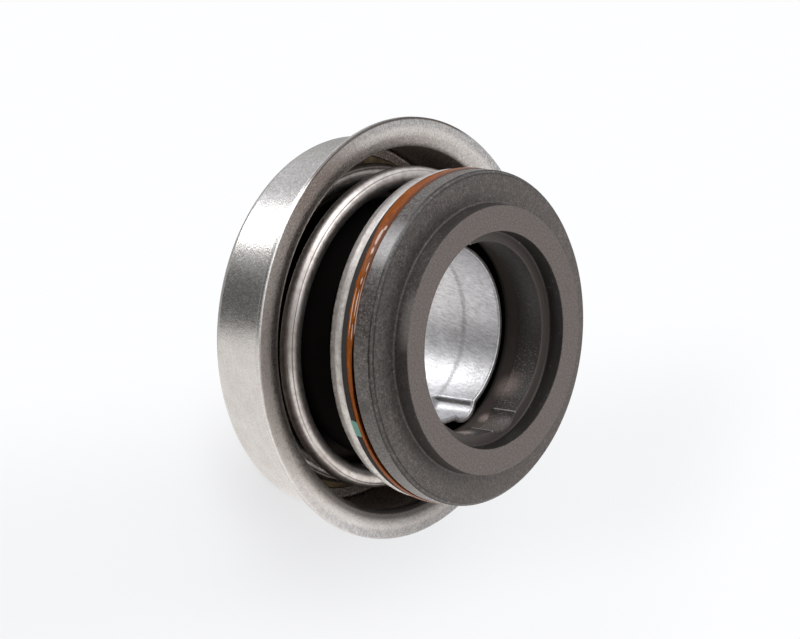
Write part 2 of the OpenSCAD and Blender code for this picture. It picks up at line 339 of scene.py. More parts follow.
def cup_steel():
    g = Finish("cup_steel")
    rings = g.rings(0.35, 9.0)
    grain = g.spots(6.0, 3.0, 0.65, (1, 1, 0.6))
    blotch = g.spots(0.4)
    spots = g.spots(2.6, 4.0, 0.75)
    on_flange = g.times(g.span(g.radius, 18.3, 18.9), g.span(g.z, 8.0, 8.12))
    on_lip = g.times(g.span(g.radius, 19.3, 18.7), g.span(g.z, 7.3, 7.7))
    film = g.most(on_flange, on_lip)
    colour = g.mix(g.span(blotch, 0.35, 0.65), (0.67, 0.66, 0.65), (0.6, 0.58, 0.56))
    colour = g.mix(g.span(rings, 0.35, 0.75, 0.0, 0.3), colour, (0.45, 0.42, 0.39))
    colour = cup_film(g, film, spots, colour)
    colour = cup_flange(g, film, on_flange, spots, colour)
    # Painted shade inside the cup, with painted light on its left side
    inside = g.times(g.span(g.radius, 18.12, 17.9), g.span(g.z, 7.95, 7.5))
    inside_painted_shade_and_light = g.mix(g.span(g.towards(90), 0.5, 0.8), (0.2, 0.155, 0.13), (0.6, 0.54, 0.5))
    colour = g.mix(inside, colour, inside_painted_shade_and_light)
    colour = cup_edge(g, colour)
    colour = cup_wear(g, colour)
    colour = cup_painted_shade(g, film, colour)
    rolled = g.times(film, g.span(grain, 0.35, 0.65, 0.3, 0.95))
    rough = g.plus(g.span(grain, 0.3, 0.7, 0.2, 0.3), g.times(inside, 0.15), g.times(rolled, 0.17))
    height = g.plus(g.times(grain, 0.9), g.times(rings, 0.5))
    height = g.plus(height, g.times(blotch, on_flange, 4.0), g.times(spots, film, 2.5))
    return g.surface(colour, rough, height, 0.009, {"Metallic": 1.0})


def plain_steel(name, light, dark, marks, rough, rings=(0.5, 8.0), bump=0.003, grain_scale=4.0, coat=0.0):
    """Metal with a fine grain, rings of the lathe or press, blotches of a second colour, and marks."""
    g = Finish(name)
    turned_marks = g.rings(*rings)
    grain = g.spots(grain_scale)
    colour = g.mix(g.span(g.spots(0.5), 0.35, 0.7), light, dark)
    uneven = g.plus(g.times(grain, 0.5), g.times(turned_marks, 0.5))
    colour, height = marks(g, colour, g.plus(grain, turned_marks))
    others = {"Metallic": 1.0, "Coat Weight": coat, "Coat Roughness": 0.1}
    return g.surface(colour, g.span(uneven, 0.35, 0.65, *rough), height, bump, others)


def seat_marks(g, colour, height):
    """Tan seat with dark dirt in patches, and painted shade on the step inside its open ledge, beneath the
    spring.
    """
    dirt = g.span(g.spots(0.7), 0.35, 0.6, 0.0, 0.7)
    colour = g.mix(dirt, colour, (0.06, 0.045, 0.035))
    # Painted shade on the step beneath the spring
    return g.mix(g.span(g.radius, 15.2, 14.4), colour, (0.02, 0.016, 0.013)), height


def sleeve_marks(g, colour, height):
    """The press's crease with painted shade along it, brushed and drawn streaks, painted shade at the ribs'
    edges, and stains.
    """
    wander = g.times(g.minus(g.spots(0.6, 2.0, 0.5), 0.5), 0.3)
    # Painted shade along the press's crease
    crease = g.near(g.plus(g.z, wander), CREASE_Z, 0.42)
    colour = g.mix(g.times(crease, 0.4), colour, (0.42, 0.415, 0.42))
    brushed = g.spots(2.4, 3.0, 0.7, (2.2, 2.2, 0.5))
    colour = g.mix(g.span(brushed, 0.48, 0.64, 0.0, 0.4), colour, (0.46, 0.46, 0.475))
    colour = g.mix(g.span(brushed, 0.44, 0.32, 0.0, 0.5), colour, (0.9, 0.9, 0.93))
    drawn = g.scratches((0.3, -0.2, 1), 6.0, 0.9)
    colour = g.mix(g.span(drawn, 0.54, 0.64, 0.0, 0.4), colour, (0.45, 0.44, 0.445))
    colour = g.mix(g.span(drawn, 0.44, 0.36, 0.0, 0.5), colour, (0.92, 0.93, 0.96))
    # Painted shade in the folds at the ribs' edges, near the top of the tube
    rib_fold_shade = g.times(g.near(g.math("ABSOLUTE", g.y), 1.22, 0.2), g.span(g.radius, 8.36, 8.45))
    colour = g.mix(g.times(rib_fold_shade, g.span(g.z, 12.95, 12.75, 0.0, 0.8)), colour, (0.06, 0.05, 0.045))
    return g.mix(g.span(g.spots(2.4), 0.6, 0.7, 0.0, 0.55), colour, (0.5, 0.44, 0.39)), height


def retainer_marks(g, colour, height):
    """Brown mottling, dark specks towards the skirt's free edge, painted shade damping the highlight at the
    upper left, and painted shade inside.
    """
    speck = g.spots(3.2, 4.0, 0.7)
    near_edge = g.span(g.z, 12.95, 12.5, 0.0, 0.16)
    colour = g.mix(g.span(g.spots(1.7, 3.0, 0.65), 0.45, 0.65, 0.0, 0.45), colour, (0.36, 0.31, 0.28))
    colour = g.mix(g.span(g.plus(speck, near_edge), 0.6, 0.72, 0.0, 0.75), colour, (0.2, 0.155, 0.13))
    # Painted shade at the upper left, damping the highlight there
    colour = g.mix(g.span(g.towards(45), 0.85, 0.98, 0.0, 0.45), colour, (0.42, 0.4, 0.39))
    # Painted shade on the inside, within radius 15.3
    colour = g.mix(g.span(g.radius, 15.3, 15.0), colour, (0.12, 0.1, 0.09))
    return colour, g.plus(height, g.times(speck, 1.5))


# Radius of the line that the drawing die left along the wire
DIE_LINE_R = 15.33


def spring_marks(g, colour, height):
    """Brown film and small dark pits on the drawn wire, and the die's line with painted shade beside it."""
    pit = g.spots(3.8, 3.0, 0.7)
    colour = g.mix(g.span(g.spots(1.3, 4.0, 0.65), 0.46, 0.66, 0.0, 0.5), colour, (0.42, 0.34, 0.3))
    colour = g.mix(g.span(pit, 0.6, 0.74, 0.0, 0.45), colour, (0.2, 0.155, 0.13))
    # Painted shade on the outer side of the die's line
    die_line_shade = g.near(g.radius, DIE_LINE_R + 0.06, 0.06)
    colour = g.mix(g.times(die_line_shade, 0.5), colour, (0.3, 0.27, 0.25))
    groove = g.near(g.radius, DIE_LINE_R, 0.1)
    return colour, g.plus(height, g.times(pit, 0.5), g.times(groove, -4.0))


def carbon_tone(g, coarse, front, dust):
    """Mottled grey, with painted light towards the right of the front and painted shade at its left."""
    colour = g.mix(g.span(coarse, 0.35, 0.7), (0.088, 0.078, 0.074), (0.066, 0.058, 0.056))
    colour = g.mix(g.span(g.spots(0.45, 3.0, 0.55), 0.35, 0.65, 0.0, 0.45), colour, (0.052, 0.045, 0.043))
    mottle = g.spots(3.0, 3.0, 0.7)
    colour = g.mix(g.span(mottle, 0.48, 0.36, 0.0, 0.7), colour, (0.026, 0.022, 0.02))
    colour = g.mix(g.span(mottle, 0.52, 0.64, 0.0, 0.65), colour, (0.18, 0.163, 0.156))
    # Painted light towards the right of the front, and painted shade at its left
    right = g.towards(255)
    colour = g.mix(g.times(front, g.span(right, -0.9, 0.6, 0.0, 0.5)), colour, (0.135, 0.117, 0.11))
    colour = g.mix(g.times(front, g.span(right, -0.7, -1.0, 0.0, 0.35)), colour, (0.03, 0.026, 0.025))
    colour = g.mix(g.span(dust, 0.54, 0.68, 0.0, 0.6), colour, (0.23, 0.212, 0.2))
    return g.mix(g.span(dust, 0.46, 0.34, 0.0, 0.65), colour, (0.02, 0.017, 0.016))


def carbon_bore(g, wall, dust, colour):
    """Bore in painted shade, darker deeper in, with painted glints on grains at its lower right, and a
    lighter ledge round its opening.
    """
    # Painted shade in the bore, darker deeper in
    colour = g.mix(g.times(wall, g.span(g.z, 17.3, 15.0, 0.84, 0.95)), colour, (0.014, 0.01, 0.008))
    # Painted glints on grains at the lower right of the bore
    glint = g.times(wall, g.span(dust, 0.54, 0.68), g.span(g.towards(236), 0.85, 0.98, 0.15, 0.8))
    colour = g.mix(g.times(glint, g.span(g.z, 17.6, 17.4)), colour, (0.3, 0.26, 0.24))
    ledge = g.times(g.near(g.z, 17.65, 0.12), g.span(g.radius, 10.3, 10.2))
    return g.mix(ledge, colour, (0.07, 0.058, 0.054))


def carbon_nose(g, front, colour):
    """Side of the nose in painted shade with a painted lit stretch, painted shade round its base, and
    painted shade in the counterbore inside it.
    """
    side = g.times(g.span(g.z, 17.95, 18.1), g.span(g.radius, 12.75, 12.8))
    # Painted shade on the side of the nose, least towards the upper left
    colour = g.mix(g.times(side, g.span(g.towards(66), 0.88, 0.97, 0.78, 0.3)), colour, (0.02, 0.017, 0.016))
    # Painted light on a stretch of the side at the left
    lit = g.times(side, g.span(g.towards(82), 0.97, 0.995), g.span(g.z, 18.1, 19.0, 0.0, 0.3))
    colour = g.mix(lit, colour, (0.36, 0.335, 0.32))
    # Painted shade round the base of the nose, wider at the left
    wide_root = g.times(front, g.span(g.towards(95), 0.0, 0.5), g.span(g.radius, 14.5, 13.5, 0.0, 0.45))
    close_root = g.times(g.span(g.radius, 13.05, 12.9), g.span(g.z, 18.4, 17.95, 0.0, 0.6))
    root_shade = g.times(g.most(wide_root, close_root), g.span(g.radius, 12.6, 12.7))
    colour = g.mix(root_shade, colour, (0.026, 0.021, 0.019))
    # Painted shade in the counterbore
    inside = g.times(g.span(g.z, 17.7, 17.8), g.span(g.radius, 11.0, 10.8), g.span(g.z, 19.4, 19.3))
    return g.mix(inside, colour, (0.012, 0.009, 0.008))


def carbon_notches(g, wall, grain, colour):
    """Painted highlights on the edges and floors of the bore's two notches, and two painted highlight spots
    on its wall.
    """
    across = g.math("ABSOLUTE", g.y)
    # Painted highlight along the notch edges
    edge = g.times(g.near(across, 1.87, 0.07), g.span(g.radius, 9.45, 9.35), g.span(g.z, 15.0, 15.2), 0.55)
    colour = g.mix(edge, colour, (0.62, 0.58, 0.55))
    # Painted highlight on the notch floors
    floor = g.times(g.span(g.radius, 9.35, 9.7), g.span(across, 1.6, 0.9), g.span(g.z, 17.6, 17.2))
    floor = g.times(floor, wall, g.span(grain, 0.44, 0.6, 0.1, 1.0), 0.55)
    colour = g.mix(floor, colour, (0.36, 0.31, 0.285))
    # Two painted highlight spots on the bore wall
    grainy = g.times(wall, g.span(grain, 0.38, 0.62, 0.35, 1.0))
    for clock, height, reach, share in ((238.5, 15.0, 2.1, 0.7), (185, 15.8, 1.5, 1.0)):
        highlight_spot = g.span(g.away(BORE_R, clock, height), reach, 0.0, 0.0, share, smooth=True)
        colour = g.mix(g.times(highlight_spot, grainy), colour, (0.45, 0.36, 0.32))
    return colour


def carbon_outside(g, seam, coarse, grain, colour):
    """Dark seam lines, a painted highlight on the turned side, and a dark rubbed patch."""
    colour = g.mix(g.times(seam, g.span(coarse, 0.3, 0.6, 0.5, 0.95)), colour, (0.012, 0.01, 0.009))
    # Painted highlight on the turned side at the upper left
    painted_highlight = g.times(g.span(g.towards(56.5), 0.984, 0.998, 0.0, 0.5), g.span(g.radius, 15.85, 15.95))
    colour = g.mix(g.times(painted_highlight, g.span(grain, 0.3, 0.6, 0.6, 1.0)), colour, (0.4, 0.395, 0.4))
    rub = g.plus(g.away(RING_R, 113.5, 16.3), g.times(g.spots(1.6, 2.0, 0.6), 1.1))
    return g.mix(g.span(rub, 1.35, 1.05, 0.0, 0.7), colour, (0.028, 0.024, 0.022))


def carbon_face(g, dust):
    """The nose's smooth face, with brown smudges and fine grains."""
    face = g.mix(g.span(g.spots(0.8), 0.62, 0.7, 0.0, 0.35), (0.13, 0.107, 0.1), (0.095, 0.066, 0.054))
    face = g.mix(g.span(dust, 0.52, 0.66, 0.0, 0.75), face, (0.225, 0.192, 0.178))
    return g.mix(g.span(dust, 0.48, 0.36, 0.0, 0.75), face, (0.055, 0.044, 0.04))


def carbon():
    g = Finish("carbon")
    grain = g.spots(9.0, 4.0, 0.7)
    coarse = g.spots(2.2)
    dust = g.spots(5.5, 3.0, 0.75)
    front = g.times(g.span(g.z, 17.8, 17.84), g.span(g.radius, 12.9, 13.0))
    wall = g.span(g.radius, 10.45, 10.3)
    colour = carbon_tone(g, coarse, front, dust)
    colour = carbon_bore(g, wall, dust, colour)
    colour = carbon_nose(g, front, colour)
    colour = carbon_notches(g, wall, grain, colour)
    side_seam = g.times(g.near(g.z, 17.5, 0.1), g.span(g.radius, 15.8, 15.9))
    front_seam = g.times(g.near(g.radius, 15.66, 0.09), g.span(g.z, 17.7, 17.76))
    seam = g.most(side_seam, front_seam)
    colour = carbon_outside(g, seam, coarse, grain, colour)
    on_face = g.times(g.span(g.z, 19.38, 19.44), g.span(g.radius, 13.0, 12.75))
    colour = g.mix(on_face, colour, carbon_face(g, dust))
    pit = g.noise(g.vector("ADD", g.at, (7, 3, 5)), 3.6, 2.0, 0.5)
    colour = g.mix(g.span(pit, 0.72, 0.75, 0.0, 0.6), colour, (0.03, 0.025, 0.023))
    speck = g.times(g.span(g.spots(4.2, 2.0, 0.5), 0.705, 0.74), g.span(g.radius, 10.2, 10.4, 0.25, 1.0))
    colour = g.mix(g.times(speck, g.span(on_face, 0, 1, 0.6, 0.15)), colour, (0.42, 0.4, 0.38))
    rough = g.plus(g.span(grain, 0.3, 0.7, 0.4, 0.56), g.span(g.radius, 15.85, 15.95, 0.0, -0.31))
    rough = g.plus(rough, g.times(wall, g.span(g.z, 16.6, 15.0, -0.06, 0.3)))
    lathe = g.times(g.rings(0.25, 6.0, 2.0), g.span(on_face, 0, 1, 0.6, 0.1))
    height = g.plus(g.times(grain, g.span(on_face, 0, 1, 1.0, 0.2)), lathe, g.times(seam, -2.0))
    return g.surface(colour, rough, height, 0.018, {"Specular IOR Level": 0.55})


def rubber():
    g = Finish("rubber")
    grain = g.spots(6.0)
    colour = g.mix(g.span(grain, 0.35, 0.7), (0.04, 0.038, 0.037), (0.055, 0.052, 0.051))
    # Painted shade: the folds, the foot and all but the outer band of the rim nearly black
    deep_shade = g.most(g.span(g.z, 14.05, 13.95), g.span(g.radius, 15.4, 15.0))
    colour = g.mix(deep_shade, colour, (0.004, 0.0035, 0.003))
    # The collar inside the carbon is about as light as the carbon's bore, with the same two painted
    # highlight spots
    collar = g.times(g.span(g.radius, 10.4, 10.2), g.span(g.z, 12.4, 12.9))
    colour = g.mix(collar, colour, (0.1, 0.085, 0.078))
    grainy = g.span(grain, 0.38, 0.62, 0.4, 1.0)
    for clock, height, reach in ((238.5, 14.5, 1.9), (215.5, 14.2, 1.0)):
        # Painted highlight spot on the collar
        highlight_spot = g.span(g.away(RUBBER_IN, clock, height), reach, 0.0, 0.0, 1.0, smooth=True)
        colour = g.mix(g.times(highlight_spot, grainy), colour, (0.55, 0.45, 0.4))
    return g.surface(colour, g.span(grain, 0.3, 0.7, 0.65, 0.8), grain, 0.006, {"Specular IOR Level": 0.05})


# Painted glare on the adhesive: clock angle, height, half length in degrees of the ring, half width
BEAD_GLARE = [
    (51.3, 15.55, 1.0, 0.12), (55.0, 15.38, 3.2, 0.17), (60.5, 15.4, 1.5, 0.14), (66.5, 15.62, 1.8, 0.05),
    (71.5, 15.45, 1.3, 0.07), (79.0, 15.5, 4.5, 0.07), (82.0, 15.12, 8.0, 0.06), (88.5, 15.45, 3.0, 0.05),
]


def adhesive_glare(g):
    """Where glare is painted on the adhesive: along its upper edge, and in wavering ovals."""
    wobble = g.times(g.minus(g.spots(2.2, 2.0, 0.5), 0.5), 1.6)
    blend = g.times(g.near(g.z, 15.72, 0.07), g.span(g.towards(92), 0.9, 0.96, 0.0, 0.6))
    for clock, height, length, width in BEAD_GLARE:
        along = g.math("DIVIDE", g.minus(1.0, g.towards(clock)), math.radians(length) ** 2 / 2)
        across = g.math("DIVIDE", g.minus(g.z, height), width)
        oval = g.plus(along, g.times(across, across), wobble)
        blend = g.most(blend, g.span(oval, 1.2, 0.6))
    return blend


def adhesive():
    g = Finish("adhesive")
    streak = g.spots(0.9, 4.0, 0.65, (1, 1, 4))
    fine = g.spots(4.0)
    colour = g.mix(g.span(streak, 0.3, 0.7), (0.17, 0.036, 0.001), (0.33, 0.085, 0.003))
    colour = g.mix(g.span(fine, 0.55, 0.75, 0.0, 0.5), colour, (0.46, 0.13, 0.012))
    colour = g.mix(g.span(g.z, 15.3, 15.75, 0.0, 0.75), colour, (0.05, 0.018, 0.01))
    # Painted glare, pale
    colour = g.mix(g.times(adhesive_glare(g), 0.75), colour, (0.72, 0.57, 0.5))
    height = g.plus(streak, g.times(fine, 0.4))
    return g.surface(colour, g.span(fine, 0.3, 0.7, 0.12, 0.24), height, 0.09, {"Specular IOR Level": 0.2})


def paint():
    g = Finish("paint")
    fine = g.spots(3.0)
    colour = g.mix(g.span(fine, 0.35, 0.7), (0.15, 0.35, 0.285), (0.13, 0.32, 0.26))
    return g.surface(colour, 0.5, fine, 0.02, {})


CUP_STEEL = cup_steel()
SLEEVE_STEEL = plain_steel(
    "sleeve_steel", (0.78, 0.78, 0.8), (0.69, 0.69, 0.71), sleeve_marks,
    rough=(0.4, 0.54), rings=(0.7, 6.0), bump=0.012,
)
SEAT_STEEL = plain_steel(
    "passivated_steel", (0.26, 0.195, 0.11), (0.17, 0.135, 0.09), seat_marks, rough=(0.35, 0.5)
)
SPRING_STEEL = plain_steel(
    "spring_steel", (0.84, 0.8, 0.78), (0.7, 0.65, 0.62), spring_marks,
    rough=(0.34, 0.48), rings=(1.0, 5.0), bump=0.008, grain_scale=3.5, coat=1.0,
)
RETAINER_STEEL = plain_steel(
    "retainer_steel", (0.74, 0.72, 0.7), (0.63, 0.6, 0.575), retainer_marks,
    rough=(0.38, 0.58), rings=(0.6, 5.0), bump=0.012, grain_scale=3.0,
)
CARBON = carbon()
RUBBER = rubber()
ADHESIVE = adhesive()
PAINT = paint()

# Pieces that keep the shape of their solids
KEPT_SOLIDS = {"rear_spring_seat": SEAT_STEEL, "front_retainer": RETAINER_STEEL, "carbon_ring": CARBON}

for node_name, node_material in KEPT_SOLIDS.items():
    nodes[node_name].data.materials.clear()
    nodes[node_name].data.materials.append(node_material)


# Meshes
CORNER_STEPS = 8
ROUND_SEGMENTS = 192


def new_piece(name, points, faces, material, body, sharp_angle):
    """Smooth piece on a body, from points in millimetres, with creases at edges sharper than an angle."""
    mesh = bpy.data.meshes.new(name)
    mesh.from_pydata([Vector(p) * MM for p in points], [], faces)
    mesh.validate()
    bm = bmesh.new()
    bm.from_mesh(mesh)
    bmesh.ops.recalc_face_normals(bm, faces=bm.faces)
    bm.to_mesh(mesh)
    bm.free()
    mesh.shade_smooth()
    obj = bpy.data.objects.new(name, mesh)
    bpy.context.scene.collection.objects.link(obj)
    mesh.materials.append(material)
    if sharp_angle:
        mesh.set_sharp_from_angle(angle=math.radians(sharp_angle))
    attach(obj, body)
    return obj


def grid_faces(rows, cols, close_rows):
    """Faces between rows of points, each row closed to a ring."""
    faces = []
    for i in range(rows if close_rows else rows - 1):
        row = i * cols
        after = ((i + 1) % rows) * cols
        for k in range(cols):
            beside = (k + 1) % cols
            faces.append((row + k, after + k, after + beside, row + beside))
    return faces


def corner(a, b, c, radius, steps=CORNER_STEPS):
    """Points of the corner b between a and c, rounded to a radius."""
    a, b, c = Vector(a), Vector(b), Vector(c)
    if radius <= 0:
        return [b]
    to_a = (a - b).normalized()
    to_c = (c - b).normalized()
    half = to_a.angle(to_c) / 2
    middle = b + (to_a + to_c).normalized() * (radius / math.sin(half))
    first = b + to_a * (radius / math.tan(half)) - middle
    last = b + to_c * (radius / math.tan(half)) - middle
    start = math.atan2(first.y, first.x)
    sweep = (math.atan2(last.y, last.x) - start + 3 * math.pi) % (2 * math.pi) - math.pi
    turns = [start + sweep * k / steps for k in range(steps + 1)]
    return [middle + Vector((math.cos(turn), math.sin(turn))) * radius for turn in turns]


def rounded(points):
    """Closed outline from (radius, height, corner radius) points."""
    out = []
    for i, (r, z, corner_radius) in enumerate(points):
        before = points[i - 1]
        after = points[(i + 1) % len(points)]
        out += corner(before[:2], (r, z), after[:2], corner_radius)
    return out


def turned(name, outline, material, body, segments=ROUND_SEGMENTS):
    """Piece from an outline of radius and height, turned round the axis."""
    points = []
    for r, z in outline:
        for k in range(segments):
            a = 2 * math.pi * k / segments
            points.append((r * math.cos(a), r * math.sin(a), z))
    return new_piece(name, points, grid_faces(len(outline), segments, True), material, body, 40)


def clamp(x, low, high):
    return min(max(x, low), high)


def ease(x):
    """0 up to 0 and 1 from 1 on, rising smoothly between them."""
    x = clamp(x, 0, 1)
    return x * x * (3 - 2 * x)


# Cup
CUP_OUT, CUP_IN, CUP_HOLE = 18.25, 17.65, 9.5
RIM_OUT = cad_high[0] / MM
LIP_WIDE, LIP_DEEP, LIP_STEPS = 1.75, 0.5, 18
CUP_SEGMENTS = 320
# Depths of the sheared rim's slow wave, its fine tears and its nicks, and the noise above which it is nicked
RIM_WAVE, RIM_TEAR, NICK_DEEP, NICK_FROM = 0.008, 0.012, 0.11, 0.42


def cup_outline():
    """The cup's section. Its lip is a quarter of an oval, gentle at the flange and sharp at the wall."""
    under = FLANGE_Z - SHEET
    keys = [
        (CUP_HOLE, 0, 0.15), (CUP_OUT, 0, 0.95), (CUP_OUT, under, 0.8), (RIM_OUT, under, 0.15),
        (RIM_OUT, FLANGE_Z, 0.13), (CUP_IN, FLANGE_Z, None), (CUP_IN, SHEET, 0.35), (CUP_HOLE, SHEET, 0.15),
    ]
    outline = []
    for i, (r, z, corner_radius) in enumerate(keys):
        if corner_radius is None:
            for k in range(LIP_STEPS + 1):
                turn = math.pi / 2 * k / LIP_STEPS
                outline.append((r + LIP_WIDE * (1 - math.sin(turn)), z - LIP_DEEP * (1 - math.cos(turn))))
        else:
            outline += corner(keys[i - 1][:2], (r, z), keys[(i + 1) % len(keys)][:2], corner_radius)
    return outline


def make_cup():
    obj = turned("cup_shell", cup_outline(), CUP_STEEL, "case", CUP_SEGMENTS)
    # The sheared rim is never quite even, and has a few small nicks
    for v in obj.data.vertices:
        way = Vector((v.co.x, v.co.y, 0))
        r = way.length / MM
        z = v.co.z / MM
        way.normalize()
        shift = RIM_WAVE * noise.noise(way * 4 + Vector((0, 0, z * 0.3)))
        if r > RIM_OUT - 0.2:
            nick = noise.noise(way * 31 + Vector((5, 9, z * 2)))
            shift -= RIM_TEAR * abs(noise.noise(way * 60)) + NICK_DEEP * max(0.0, nick - NICK_FROM)
        v.co += way * min(shift, RIM_OUT - r) * MM
    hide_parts("cup")


make_cup()

# Spring: open turns from the rear seat, narrowing into the front retainer, and a flat half turn at each end
WIRE_R = 1.0
COIL_R, NEST_R = 14.8, 14.1
COIL_FRONT = 13.58
COIL_LOW = SEAT_TOP + WIRE_R + 0.02
COIL_HIGH = COIL_FRONT - WIRE_R
REAR_TURNS, FRONT_TURNS, FLAT_TURNS = 1.2, 0.55, 0.5
REAR_PITCH = 5.0
FRONT_PITCH = (COIL_HIGH - COIL_LOW - REAR_PITCH * REAR_TURNS) / FRONT_TURNS
COIL_START = 221.0
PITCH_EASE = 0.05
RINGS_A_TURN = 120
WIRE_SIDES = 28


def coil_rise(u):
    return REAR_PITCH * clamp(u, 0, REAR_TURNS) + FRONT_PITCH * clamp(u - REAR_TURNS, 0, FRONT_TURNS)


def coil_at(u):
    """Centre of the wire after u turns, with the change of pitch spread over a short stretch."""
    r = COIL_R + (NEST_R - COIL_R) * ease((u - REAR_TURNS) / FRONT_TURNS)
    a = math.radians(COIL_START - 360 * u)
    z = COIL_LOW + sum(coil_rise(u + e * PITCH_EASE) for e in (-1, -0.5, 0, 0.5, 1)) / 5
    return Vector((r * math.cos(a), r * math.sin(a), z))


def wire_ring(u):
    """Points round the wire after u turns."""
    centre = coil_at(u)
    along = (coil_at(u + 0.002) - coil_at(u - 0.002)).normalized()
    flat = Vector((centre.x, centre.y, 0))
    out = (flat - along * flat.dot(along)).normalized()
    up = out.cross(along)
    turns = [2 * math.pi * k / WIRE_SIDES for k in range(WIRE_SIDES)]
    return [centre + (out * math.cos(turn) + up * math.sin(turn)) * WIRE_R for turn in turns]


def make_spring():
    turns = FLAT_TURNS + REAR_TURNS + FRONT_TURNS + FLAT_TURNS
    count = int(turns * RINGS_A_TURN)
    points = []
    for i in range(count + 1):
        points += wire_ring(-FLAT_TURNS + turns * i / count)
    faces = grid_faces(count + 1, WIRE_SIDES, False)
    faces.append(tuple(range(WIRE_SIDES)))
    faces.append(tuple(count * WIRE_SIDES + k for k in reversed(range(WIRE_SIDES))))
    obj = new_piece("spring_wire", points, faces, SPRING_STEEL, "case", 50)
    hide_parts("coil_spring")
    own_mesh(obj)


make_spring()

# Bellows: two folds between a foot, clamped on the cup's floor, and the rim behind the carbon
RUBBER_OUT = 10.95
FOLDS = 2
FOLD_CREST = 12.2
FOLD_LOW, FOLD_HIGH = 3.45, 12.7
FOLD_STEPS = 72
WALL_LOW, WALL_HIGH = 2.2, FOLD_HIGH + 0.05
NECK_R, NECK_LOW = 12.18, 12.72
# The rim keeps this clear of the retainer behind it and the carbon before it
CLEAR = 0.005
# Corners of the foot's section: radius, height, corner radius
BELLOWS_FOOT = [
    (13.18, 0.62, 0.15), (13.18, 1.93, 0.15), (RUBBER_OUT, 1.93, 0.1), (RUBBER_OUT, 2.3, 0.1),
    (9.0, 2.3, 0.3), (8.85, 1.75, 0.15), (9.45, 1.12, 0.15), (12.1, 1.12, 0), (12.1, 0.62, 0),
]


def fold_outline():
    """Section of the folds: a wall of even thickness along a wave."""
    valley = (RUBBER_IN + RUBBER_OUT) / 2
    middle = []
    for i in range(FOLD_STEPS + 1):
        part = i / FOLD_STEPS
        swing = (1 - math.cos(2 * math.pi * FOLDS * part)) / 2
        height = FOLD_LOW + (FOLD_HIGH - FOLD_LOW) * part
        middle.append(Vector((valley + (FOLD_CREST - valley) * swing, height)))

    def side(shift):
        out = []
        for i, point in enumerate(middle):
            along = (middle[min(i + 1, FOLD_STEPS)] - middle[max(i - 1, 0)]).normalized()
            out.append((point.x + shift * along.y, point.y - shift * along.x))
        return out

    half = (RUBBER_OUT - RUBBER_IN) / 2
    outside = [(RUBBER_OUT, WALL_LOW), *side(half), (RUBBER_OUT, WALL_HIGH)]
    inside = [(RUBBER_IN, WALL_LOW), *side(-half), (RUBBER_IN, WALL_HIGH)]
    return outside + inside[::-1]


def make_bellows():
    wall = turned("bellows_folds", fold_outline(), RUBBER, "case")
    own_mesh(wall)
    foot = turned("bellows_foot", rounded(BELLOWS_FOOT), RUBBER, "case")
    rear, front = RIM_REAR + CLEAR, RING_REAR - CLEAR
    rim_outline = rounded([
        (NECK_R, NECK_LOW, 0.15), (NECK_R, rear, 0.4), (RIM_R, rear, 0.12), (RIM_R, front, 0.05),
        (RUBBER_IN, front, 0.15), (RUBBER_IN, NECK_LOW, 0.15),
    ])
    rim = turned("bellows_rim", rim_outline, RUBBER, "head")
    for piece in (wall, foot, rim):
        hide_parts("bellows")


make_bellows()


# Adhesive bead: the heights of its two edges wander round the ring, given at clock angles of the photograph
BEAD_LOW = [
    (0, 14.25), (30, 14.2), (45, 14.35), (60, 14.72), (90, 14.78), (120, 15.0), (135, 14.85),
    (150, 14.7), (185, 14.6), (220, 14.8), (260, 14.5), (300, 14.75), (335, 14.4),
]
BEAD_HIGH = [
    (0, 15.88), (20, 15.88), (60, 15.9), (85, 15.82), (95, 15.5), (115, 15.32), (130, 15.3), (150, 15.4),
    (190, 15.7), (230, 15.82), (270, 15.7), (320, 15.85),
]
BEAD_SEGMENTS = 360
BEAD_ROWS = 11


def round_clock(keys, clock):
    """Smooth value at a clock angle from keys round the circle."""
    clock %= 360
    for i, (start, value) in enumerate(keys):
        end, next_value = keys[(i + 1) % len(keys)]
        wide = (end - start) % 360
        part = (clock - start) % 360
        if part <= wide:
            return value + (next_value - value) * ease(part / wide)
    return keys[0][1]


def bead_ring(azimuth):
    """Radii and heights round the bead's section at an azimuth in degrees."""
    way = Vector((math.cos(math.radians(azimuth)), math.sin(math.radians(azimuth)), 0))
    wave = noise.noise(way * 9.0 + Vector((3, 1, 7)))
    fine = noise.noise(way * 34.0 + Vector((8, 2, 5)))
    low = round_clock(BEAD_LOW, azimuth + CLOCK) + 0.05 * wave + 0.03 * fine
    high = round_clock(BEAD_HIGH, azimuth + CLOCK) + 0.03 * wave - 0.03 * fine
    bulge = 0.075 + 0.025 * noise.noise(way * 5.0) + 0.012 * fine
    ring = []
    for i in range(BEAD_ROWS):
        part = i / (BEAD_ROWS - 1)
        z = low + (high - low) * part
        base = RIM_R if z < RING_REAR else min(RING_R, RIM_R + (z - RING_REAR) * 0.3)
        ring.append((base + bulge * math.sqrt(max(0.0, 1 - (2 * part - 1) ** 2)) + 0.008, z))
    ring.append((RING_R - 0.03, high - 0.02))
    ring.append((RING_R - GLUE_BEVEL + 0.06, RING_REAR + 0.002))
    ring.append((RIM_R - 0.03, min(low + 0.02, RING_REAR - 0.01)))
    return ring


def make_bead():
    points = []
    for k in range(BEAD_SEGMENTS):
        azimuth = 360 * k / BEAD_SEGMENTS
        a = math.radians(azimuth)
        ring = bead_ring(azimuth)
        points += [(r * math.cos(a), r * math.sin(a), z) for r, z in ring]
    faces = grid_faces(BEAD_SEGMENTS, len(ring), True)
    obj = new_piece("adhesive_fill", points, faces, ADHESIVE, "head", 70)
    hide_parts("adhesive_bead")


make_bead()


